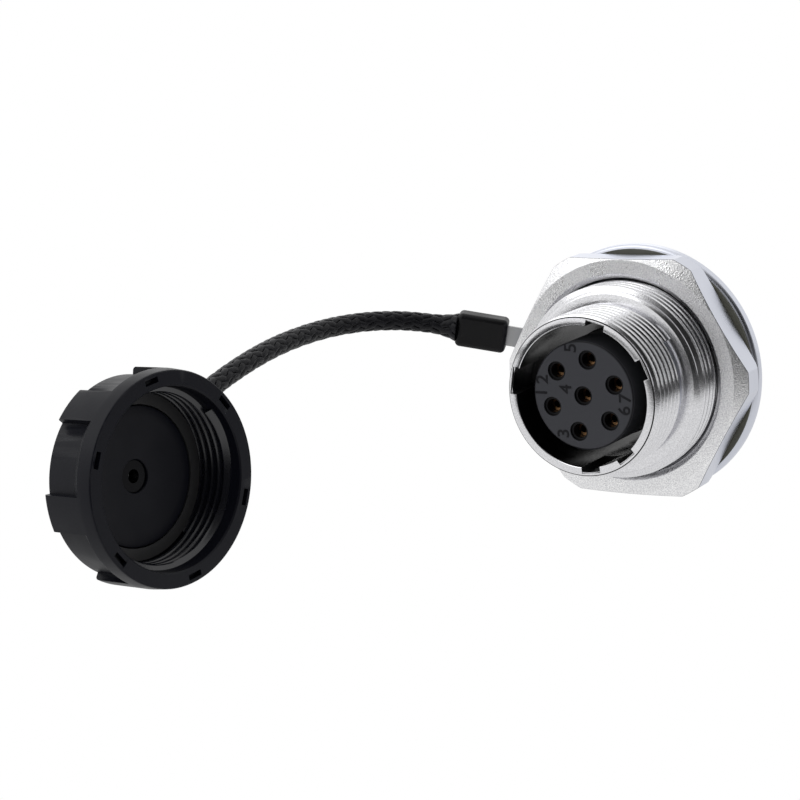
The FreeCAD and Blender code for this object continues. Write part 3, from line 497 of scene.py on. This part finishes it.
def grained(name, colour, scales, rough, bump, light=None, metallic=0.0, specular=0.5):
    """A finish with grain of a fine and a broad scale: its roughness goes between two values,
    its bump has a strength and a height in mm, and it can be speckled with a lighter colour."""
    finish, tree, shader = new_finish(name, colour, metallic, specular)
    use = tree.nodes.new("ShaderNodeGroup")
    use.node_tree = grain
    for socket_name, value in zip(("Fine Scale", "Broad Scale", "Low", "High"), scales + rough):
        use.inputs[socket_name].default_value = value
    strength, height = bump
    relief = tree.nodes.new("ShaderNodeBump")
    relief.inputs["Strength"].default_value = strength
    relief.inputs["Distance"].default_value = height * MM
    tree.links.new(use.outputs["Height"], relief.inputs["Height"])
    tree.links.new(use.outputs["Roughness"], shader.inputs["Roughness"])
    tree.links.new(relief.outputs["Normal"], shader.inputs["Normal"])
    if light:
        tones = tree.nodes.new("ShaderNodeValToRGB")
        tones.color_ramp.elements[0].color = (*colour, 1)
        tones.color_ramp.elements[1].color = (*light, 1)
        tree.links.new(use.outputs["Speckle"], tones.inputs["Fac"])
        tree.links.new(tones.outputs["Color"], shader.inputs["Base Color"])
    return finish


# The bore is smooth, and its plating is painted dark: painted shade and a painted reflection of the
# black insert. The keyways and the bevel of the rim are painted nearly black as painted shade. The
# relief behind the mating thread and the flange are smoother, with a painted darker, bluer shade.
METAL_GRAIN = (5200.0, 260.0)
plated = grained("plated_metal", (0.72, 0.72, 0.74), METAL_GRAIN, rough=(0.14, 0.22),
                 bump=(0.5, 0.015), light=(0.84, 0.84, 0.86), metallic=1.0)
bore_shade_finish = grained("bore_painted_shade", (0.26, 0.26, 0.26), METAL_GRAIN, rough=(0.10, 0.20),
                      bump=(0.2, 0.01), metallic=1.0)
black_shade_finish = grained("keyway_and_bevel_painted_shade", (0.012, 0.012, 0.012), METAL_GRAIN, rough=(0.25, 0.4),
                     bump=(0.2, 0.01), specular=0.1)
# A smoother, darker and bluer copy of the plating: painted shade for the flange, the relief and the
# nut's flats.
smooth_shaded_finish = grained("smooth_plating_painted_shade", (0.66, 0.68, 0.75), (3000.0, 200.0),
                        rough=(0.26, 0.36), bump=(0.2, 0.01), metallic=1.0)
for finish in (plated, bore_shade_finish, black_shade_finish, smooth_shaded_finish):
    shell_body.data.materials.append(finish)
PLATED, BORE_SHADE, BLACK_SHADE, SMOOTH_SHADED = range(4)
# Painted shade: dark in the bore, nearly black in the keyways and on the rim's bevel, darker and
# bluer on the flange and the relief.
for face in shell_body.data.polygons:
    outwards = hypot(face.center.x, face.center.z) / MM
    station = face.center.y / MM - MOUTH
    in_mouth = outwards < 8.89 and 0.03 < station < 9.3
    on_bevel = 9.13 < outwards < 9.26 and station < 0.1
    on_relief = outwards < 9.0 and 6.5 < station < 7.64
    on_flange = outwards > 11.5
    if in_mouth:
        face.material_index = BORE_SHADE if outwards < 8.3 else BLACK_SHADE
    elif on_bevel:
        face.material_index = BLACK_SHADE
    elif on_flange or on_relief:
        face.material_index = SMOOTH_SHADED
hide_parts("receptacle_shell")
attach(shell_body, "receptacle")

# Mating thread and panel thread
# Cut threads of 1 mm pitch, each a ridge wound round the barrel. Both rise from a bevel at
# their front ends, and the mating thread sinks again before the relief.
PITCH = 1.0
THREAD_STEPS = 96
MATING_CREST, MATING_ROOT = 9.5, 8.93
PANEL_CREST, PANEL_ROOT = 11.5, 10.88


def thread_ridge(name, crest, root, start, end):
    """A ridge wound about the Y axis from one station to another, a turn for each pitch."""
    depth = crest - root
    foot = root - 0.25 * depth
    flank = [(root, 0.5), (root + 0.04 * depth, 0.40), (crest - 0.16 * depth, 0.20), (crest, 0.06)]
    profile = [(radius, -y) for radius, y in flank] + flank[::-1] + [(foot, 0.5), (foot, -0.5)]
    piece = draw_line(name, [(radius, start + 0.5 * PITCH + y * PITCH) for radius, y in profile])
    bpy.ops.object.mode_set(mode="OBJECT")
    turns = (end - start) / PITCH - 1.0
    wind = piece.modifiers.new("wind", "SCREW")
    wind.axis = "Y"
    wind.angle = 2 * pi * turns
    wind.screw_offset = PITCH * MM * turns
    wind.steps = int(THREAD_STEPS * turns)
    wind.render_steps = int(THREAD_STEPS * turns)
    wind.use_normal_calculate = True
    bpy.ops.object.modifier_apply(modifier=wind.name)
    bpy.ops.object.mode_set(mode="EDIT")
    bpy.ops.mesh.select_all(action="DESELECT")
    bpy.ops.mesh.select_mode(type="EDGE")
    bpy.ops.mesh.select_non_manifold()
    bpy.ops.mesh.edge_face_add()
    bpy.ops.mesh.select_all(action="SELECT")
    bpy.ops.mesh.normals_make_consistent(inside=False)
    bpy.ops.object.mode_set(mode="OBJECT")
    return piece


def run_out(thread, held, matrix, first=-inf, last=inf):
    """A thread with its radius held to what each station allows, its ends cut flat at the
    first and last station, put in its place and shaded."""
    for vertex in thread.data.vertices:
        radius = hypot(vertex.co.x, vertex.co.z) / MM
        kept = held(radius, vertex.co.y / MM)
        vertex.co.x *= kept / radius
        vertex.co.z *= kept / radius
        vertex.co.y = min(max(vertex.co.y, first * MM), last * MM)
    put(thread, matrix)
    bpy.ops.object.shade_smooth_by_angle(angle=radians(25))


def mating_held(radius, station):
    """The crest rises behind the rim's bevel and sinks before the relief."""
    rise = 8.85 + 1.3 * max(station - 0.25, 0.0)
    sink = 8.80 + 1.5 * max(7.5 - station, 0.0)
    return min(radius, MATING_CREST, rise, sink)


def panel_held(radius, station):
    """The crest rises behind the shoulder's bevel and runs on under the ring."""
    rise = 10.62 + 1.45 * max(station - 7.69, 0.0)
    return min(radius, PANEL_CREST, rise)


mating_thread = thread_ridge("mating_thread", MATING_CREST, MATING_ROOT, -0.35, 7.55)
run_out(mating_thread, mating_held, Matrix.Translation((0, MOUTH * MM, 0)), first=0.02)
panel_thread = thread_ridge("panel_thread", PANEL_CREST, PANEL_ROOT, 7.35, 14.95)
run_out(panel_thread, panel_held, Matrix.Translation((0, MOUTH * MM, 0)), first=7.68)
thread_finish = grained("thread_plating", (0.66, 0.66, 0.68), (7500.0, 260.0),
                        rough=(0.08, 0.16), bump=(0.5, 0.015), light=(0.82, 0.82, 0.84),
                        metallic=1.0)
for piece in (mating_thread, panel_thread):
    piece.data.materials.append(thread_finish)
    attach(piece, "receptacle")

# Panel nut
# A thin hexagon nut, its corners turned to a circle and its face bevelled, blasted before plating,
# so that the face is grainy and the flats are smoother. The flats take a painted darker, bluer
# shade, and the bevelled edges and the countersink's inner edge a painted shade, nearly black.
NUT_PROFILE = (
    (12.36, 11.09), (13.98, 11.09), (15.58, 11.72), (15.58, 14.5), (15.33, 14.75),
    (11.52, 14.75), (11.52, 11.94), (11.78, 11.68),
)
NUT_HALF_ACROSS = 14.08
NUT_MIDDLE = 13.0
NUT_CUTTER_DEPTH = 6


def soften(piece, width, angle, segments, smooth):
    """Edges sharper than an angle broken by a narrow rounding, and large faces shaded flat."""
    select_only(piece)
    step = piece.modifiers.new("edges", "BEVEL")
    step.width = width
    step.segments = segments
    step.limit_method = "ANGLE"
    step.angle_limit = radians(angle)
    step.use_clamp_overlap = True
    bpy.ops.object.modifier_apply(modifier=step.name)
    bpy.ops.object.shade_smooth_by_angle(angle=radians(smooth))
    step = piece.modifiers.new("shading", "WEIGHTED_NORMAL")
    step.keep_sharp = True
    bpy.ops.object.modifier_apply(modifier=step.name)


nut_body = turned("nut_body", NUT_PROFILE, SHELL_STEPS)
deselect_everything()
bpy.ops.mesh.primitive_cylinder_add(vertices=6, radius=NUT_HALF_ACROSS / cos(pi / 6) * MM,
                                    depth=NUT_CUTTER_DEPTH * MM)
hexagon = bpy.context.object
put(hexagon, Matrix.Translation((0, NUT_MIDDLE * MM, 0))
    @ Matrix.Rotation(radians(90), 4, "X") @ Matrix.Rotation(radians(30), 4, "Z"))
cut_with(nut_body, [hexagon], "INTERSECT")
soften(nut_body, 0.14 * MM, angle=18, segments=1, smooth=12)
put(nut_body, Matrix.Translation((0, MOUTH * MM, 0)))
blasted = grained("blasted_plating", (0.74, 0.74, 0.76), (6000.0, 300.0), rough=(0.24, 0.34),
                  bump=(1.0, 0.05), light=(1.0, 1.0, 1.0), metallic=1.0)
edge_shade_finish = grained("edge_painted_shade", (0.16, 0.16, 0.17), METAL_GRAIN, rough=(0.25, 0.4),
                      bump=(0.2, 0.01), metallic=1.0)
for finish in (blasted, smooth_shaded_finish, edge_shade_finish):
    nut_body.data.materials.append(finish)
BLASTED, SHADED_FLATS, EDGE_SHADE = range(3)
# Painted shade: the bevels and the countersink's inner edge nearly black, the flats a darker, bluer
# copy of the plating.
for face in nut_body.data.polygons:
    outwards = hypot(face.center.x, face.center.z) / MM
    facing_rear = face.normal.y
    outer_bevel = -0.88 < facing_rear < -0.3 and outwards > 13.0
    inner_bevel = facing_rear > -0.9 and outwards < 11.75
    if outer_bevel or inner_bevel:
        face.material_index = EDGE_SHADE
    else:
        face.material_index = SHADED_FLATS if abs(facing_rear) < 0.2 else BLASTED
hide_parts("panel_nut")
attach(nut_body, "nut")

# Panel gasket and inner seals
# Flat rubber rings: a dull olive-grey one on the flange, black ones at the insert and in the cap.
RUBBER_GRAIN = (3000.0, 500.0)


def refinish(node, finish):
    """A CAD piece that keeps its shape takes one of the finishes."""
    piece = nodes[node]
    piece.data.materials.clear()
    piece.data.materials.append(finish)


gasket_finish = grained("gasket_rubber", (0.085, 0.085, 0.068), RUBBER_GRAIN, rough=(0.6, 0.8),
                        bump=(0.5, 0.02))
seal_finish = grained("seal_rubber", (0.014, 0.014, 0.015), RUBBER_GRAIN, rough=(0.5, 0.7),
                      bump=(0.3, 0.01))
refinish("panel_gasket", gasket_finish)
refinish("insert_seal", seal_finish)
refinish("cap_seal", seal_finish)

# Lanyard ring and eyelet
# Both stamped from steel strip, rolled bright, with a tab that a sleeve grips.
STEEL_GRAIN = (2600.0, 350.0)
strip_finish = grained("rolled_strip", (0.46, 0.46, 0.46), STEEL_GRAIN, rough=(0.28, 0.42),
                       bump=(0.3, 0.01), metallic=1.0)
refinish("lanyard_ring", strip_finish)
refinish("cap_eyelet", strip_finish)

# Insert
# Two moulded insulators in dark grey plastic. Seven holes, each with a number beside it
# that stands a little proud; all the numbers have their tops towards the left.
FACE_STATION = 0.69
BOSS_RADIUS = 6.3
INSERT_TONE = (0.040, 0.041, 0.047)
HOLE_SHADE = (0.002, 0.002, 0.003)
INSERT_GRAIN = (3500.0, 300.0)


def paint_hole_shade(finish, surface, inside, start, end, within):
    """Painted shade in holes within a radius: a colour that turns to another with the station, all
    in mm.
    """
    tree = finish.node_tree
    place = tree.nodes.new("ShaderNodeTexCoord")
    flat = tree.nodes.new("ShaderNodeVectorMath")
    flat.operation = "MULTIPLY"
    flat.inputs[1].default_value = (1, 0, 1)
    reach = tree.nodes.new("ShaderNodeVectorMath")
    reach.operation = "LENGTH"
    near = tree.nodes.new("ShaderNodeMath")
    near.operation = "LESS_THAN"
    near.inputs[1].default_value = within * MM
    parts = tree.nodes.new("ShaderNodeSeparateXYZ")
    depth = tree.nodes.new("ShaderNodeMapRange")
    depth.inputs["From Min"].default_value = (MOUTH + start) * MM
    depth.inputs["From Max"].default_value = (MOUTH + end) * MM
    both = tree.nodes.new("ShaderNodeMath")
    both.operation = "MULTIPLY"
    tones = tree.nodes.new("ShaderNodeValToRGB")
    tones.color_ramp.elements[0].color = (*surface, 1)
    tones.color_ramp.elements[1].color = (*inside, 1)
    tree.links.new(place.outputs["Object"], flat.inputs[0])
    tree.links.new(flat.outputs[0], reach.inputs[0])
    tree.links.new(reach.outputs["Value"], near.inputs[0])
    tree.links.new(place.outputs["Object"], parts.inputs[0])
    tree.links.new(parts.outputs["Y"], depth.inputs["Value"])
    tree.links.new(depth.outputs["Result"], both.inputs[0])
    tree.links.new(near.outputs[0], both.inputs[1])
    tree.links.new(both.outputs[0], tones.inputs["Fac"])
    tree.links.new(tones.outputs["Color"], tree.nodes["Principled BSDF"].inputs["Base Color"])


insert_finish = grained("insert_plastic", INSERT_TONE, INSERT_GRAIN, rough=(0.42, 0.58),
                        bump=(0.35, 0.01), specular=0.22)
# The holes and their countersinks are painted nearly black below the face, as painted shade.
paint_hole_shade(insert_finish, INSERT_TONE, HOLE_SHADE, start=FACE_STATION + 0.01,
              end=FACE_STATION + 0.14, within=BOSS_RADIUS)
refinish("insulator_front", insert_finish)
refinish("insulator_rear", insert_finish)

NUMBERS = (
    ("5", -1.38, 5.49), ("2", -5.20, 1.68), ("1", -5.37, 0.11), ("4", -2.23, 0.67),
    ("3", -2.78, -4.54), ("7", 5.27, 0.02), ("6", 5.10, -1.43),
)
NUMBER_HEIGHT = 1.5
NUMBER_WIDTH = 1.05
NUMBER_STRETCH = 1.1
NUMBER_SIZE = 2.0 * MM
NUMBER_PROUD = 0.03 * MM
NUMBER_THINNED = -0.012 * MM
number_pieces = []
for word, across, up in NUMBERS:
    deselect_everything()
    bpy.ops.object.text_add(location=(0, 0, 0))
    digit = bpy.context.object
    digit.data.body = word
    digit.data.size = NUMBER_SIZE
    digit.data.extrude = NUMBER_PROUD
    digit.data.bevel_depth = NUMBER_PROUD
    digit.data.offset = NUMBER_THINNED
    bpy.ops.object.convert(target="MESH")
    digit = bpy.context.object
    low = Vector([min(vertex.co[k] for vertex in digit.data.vertices) for k in range(3)])
    high = Vector([max(vertex.co[k] for vertex in digit.data.vertices) for k in range(3)])
    tall = NUMBER_HEIGHT * MM / (high.y - low.y)
    wide = min(tall * NUMBER_STRETCH, NUMBER_WIDTH * MM / (high.x - low.x))
    fitted = Matrix.Diagonal((wide, tall, 1.0, 1.0)) @ Matrix.Translation(-0.5 * (low + high))
    place = Matrix.Translation(Vector((across, MOUTH + FACE_STATION, up)) * MM)
    tops_left = Matrix.Rotation(radians(-90), 4, "Y") @ Matrix.Rotation(radians(90), 4, "X")
    put(digit, place @ tops_left @ fitted)
    number_pieces.append(digit)
select_only(number_pieces[0])
for digit in number_pieces:
    digit.select_set(True)
bpy.ops.object.join()
insert_numbers = bpy.context.object
insert_numbers.name = "insert_numbers"
insert_numbers.data.materials.clear()
number_finish = grained("number_plastic", (0.004, 0.004, 0.006), INSERT_GRAIN,
                        rough=(0.4, 0.55), bump=(0.3, 0.01), specular=0.22)
insert_numbers.data.materials.append(number_finish)
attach(insert_numbers, "receptacle")

# Contacts and retaining ring
# Seven gold-plated sockets, painted dark at their mouths as painted shade but for a painted glint
# on the lower side, and the plated ring that holds the insert from behind.
GOLD_SHADE = (0.06, 0.03, 0.015)
GOLD_BRIGHT = (1.0, 0.56, 0.26)
GOLD_GLINT_SIDE = (0.55, 0.0, -0.83)
gold = grained("gold_plating_painted_glint", GOLD_BRIGHT, (6000.0, 900.0), rough=(0.26, 0.40),
               bump=(0.4, 0.01), metallic=1.0)
# Painted light: the front of each socket turns to a dark gold as painted shade, but for a painted
# glint towards one side; further back it keeps its gold.
tree = gold.node_tree
gold_place = tree.nodes.new("ShaderNodeTexCoord")
gold_glint = tree.nodes.new("ShaderNodeVectorMath")
gold_glint.operation = "DOT_PRODUCT"
gold_glint.inputs[1].default_value = GOLD_GLINT_SIDE
gold_range = tree.nodes.new("ShaderNodeMapRange")
gold_range.inputs["From Min"].default_value = -0.14
gold_range.inputs["From Max"].default_value = 0.0
gold_parts = tree.nodes.new("ShaderNodeSeparateXYZ")
gold_depth = tree.nodes.new("ShaderNodeMapRange")
gold_depth.inputs["From Min"].default_value = 0.1
gold_depth.inputs["From Max"].default_value = 0.4
gold_unshaded = tree.nodes.new("ShaderNodeMath")
gold_unshaded.operation = "MAXIMUM"
gold_tone = tree.nodes.new("ShaderNodeValToRGB")
gold_tone.color_ramp.elements[0].color = (*GOLD_SHADE, 1)
gold_tone.color_ramp.elements[1].color = (*GOLD_BRIGHT, 1)
tree.links.new(gold_place.outputs["Generated"], gold_glint.inputs[0])
tree.links.new(gold_glint.outputs["Value"], gold_range.inputs["Value"])
tree.links.new(gold_place.outputs["Generated"], gold_parts.inputs[0])
tree.links.new(gold_parts.outputs["Y"], gold_depth.inputs["Value"])
tree.links.new(gold_range.outputs["Result"], gold_unshaded.inputs[0])
tree.links.new(gold_depth.outputs["Result"], gold_unshaded.inputs[1])
tree.links.new(gold_unshaded.outputs[0], gold_tone.inputs["Fac"])
tree.links.new(gold_tone.outputs["Color"], tree.nodes["Principled BSDF"].inputs["Base Color"])
for k in range(1, 8):
    refinish("contact_%d" % k, gold)
refinish("retaining_ring", plated)

# Cap
# One moulding in black plastic: plain band at the mouth, six pads with recessed panels
# between them, an inner thread, a dished floor and six slots in the rim.
CAP_PLACE = (
    Matrix.Translation(Vector((-26.2, -57.2, -1.4)) * MM)
    @ Matrix.Rotation(radians(80.7), 4, "Z") @ Matrix.Rotation(radians(-3.3), 4, "X")
    @ Matrix.Rotation(radians(-37.0), 4, "Y")
)
CAP_STEPS = 144
CAP_PROFILE = (
    # The rim and the outer wall.
    (9.9, 0.0), (11.32, 0.0), (11.42, 0.06), (11.48, 0.2), (11.58, 1.3), (11.62, 1.75),
    # The rounded rear edge, and the back.
    (11.62, 6.65), (11.58, 6.82), (11.48, 6.95), (11.36, 7.03), (11.22, 7.05), (10.5, 7.05),
    # The rivet's hole and socket.
    (1.22, 7.05), (1.22, 6.6), (1.78, 6.6), (1.78, 6.05), (1.86, 5.98),
    # The dished floor, and the seal's groove round it.
    (4.6, 5.86), (6.4, 5.68), (7.2, 5.56), (7.5, 5.62), (7.62, 5.85), (7.62, 6.4), (9.55, 6.4),
    # The bore under the thread, and the mouth.
    (9.62, 6.3), (9.62, 1.5), (9.75, 1.2), (9.75, 0.15),
)
GRIP_CUT = ((10.81, 3.05), (11.64, 1.75), (12.7, 1.75), (12.7, 9.0), (10.81, 9.0))
GRIP_STEPS = 24
GRIP_ANGLE = 40
SLOT_SIZE = (0.6, 1.6, 1.8)
SLOT_CENTRE = (10.7, 0.0, 0.0)
CAP_SIDES = 6
CAP_CREST, CAP_ROOT = 9.05, 9.63
cap_shell = turned("cap_shell", CAP_PROFILE, CAP_STEPS)
cap_cutters = []
for k in range(CAP_SIDES):
    wedge = draw_line("panel_cutter", GRIP_CUT)
    bpy.ops.mesh.edge_face_add()
    bpy.ops.mesh.select_all(action="SELECT")
    spin_line(GRIP_STEPS, radians(GRIP_ANGLE))
    angles = [atan2(vertex.co.z, vertex.co.x) for vertex in wedge.data.vertices]
    middle = 0.5 * (min(angles) + max(angles))
    put(wedge, Matrix.Rotation(middle + radians(60 * k), 4, "Y"))
    cap_cutters.append(wedge)
for k in range(CAP_SIDES):
    cap_cutters.append(box_cutter(SLOT_SIZE, SLOT_CENTRE, Matrix.Rotation(radians(60 * k), 4, "Y")))
cut_with(cap_shell, cap_cutters)
soften(cap_shell, 0.16 * MM, angle=30, segments=3, smooth=32)
put(cap_shell, CAP_PLACE)


def cap_held(radius, station):
    """The crest rises from the bore behind the mouth's bevel."""
    rise = 9.7 - 0.9 * max(station - 1.25, 0.0)
    return max(radius, CAP_CREST, rise)


cap_thread = thread_ridge("cap_thread", CAP_CREST, CAP_ROOT, 1.2, 6.45)
run_out(cap_thread, cap_held, CAP_PLACE, last=6.38)
CAP_TONE = (0.0040, 0.0044, 0.0076)
CAP_GRAIN = (2400.0, 220.0)
cap_finish = grained("cap_plastic", CAP_TONE, CAP_GRAIN, rough=(0.34, 0.48),
                     bump=(0.35, 0.015), specular=0.15)
cap_thread_finish = grained("cap_thread_plastic", CAP_TONE, CAP_GRAIN, rough=(0.20, 0.32),
                            bump=(0.35, 0.015), specular=0.7)
cap_shell.data.materials.append(cap_finish)
cap_thread.data.materials.append(cap_thread_finish)
for piece in (cap_shell, cap_thread):
    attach(piece, "cap")
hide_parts("cap_body")

# Cap rivet
# A nickel-plated rivet, its head bright behind the cap and its clinched foot painted nearly black,
# as painted shade in the hole.
RIVET_HEAD_START = 7.4 * MM
rivet_foot_shade_finish = grained("rivet_foot_painted_shade", (0.012, 0.012, 0.013), STEEL_GRAIN, rough=(0.24, 0.4),
                       bump=(0.3, 0.01), metallic=1.0)
head_finish = grained("rivet_head_plating", (0.46, 0.46, 0.47), STEEL_GRAIN, rough=(0.24, 0.4),
                      bump=(0.3, 0.01), metallic=1.0)
refinish("cap_rivet", rivet_foot_shade_finish)
nodes["cap_rivet"].data.materials.append(head_finish)
from_cap = CAP_PLACE.inverted()
for face in nodes["cap_rivet"].data.polygons:
    face.material_index = 1 if (from_cap @ face.center).y > RIVET_HEAD_START else 0

# Sleeves
# Small black mouldings that grip the cord's ends, one on the ring's tab, one on the eyelet.
sleeve_finish = grained("sleeve_plastic", (0.005, 0.005, 0.0055), (2600.0, 240.0),
                        rough=(0.36, 0.5), bump=(0.3, 0.01), specular=0.2)
refinish("ring_sleeve", sleeve_finish)
refinish("cap_sleeve", sleeve_finish)

deselect_everything()
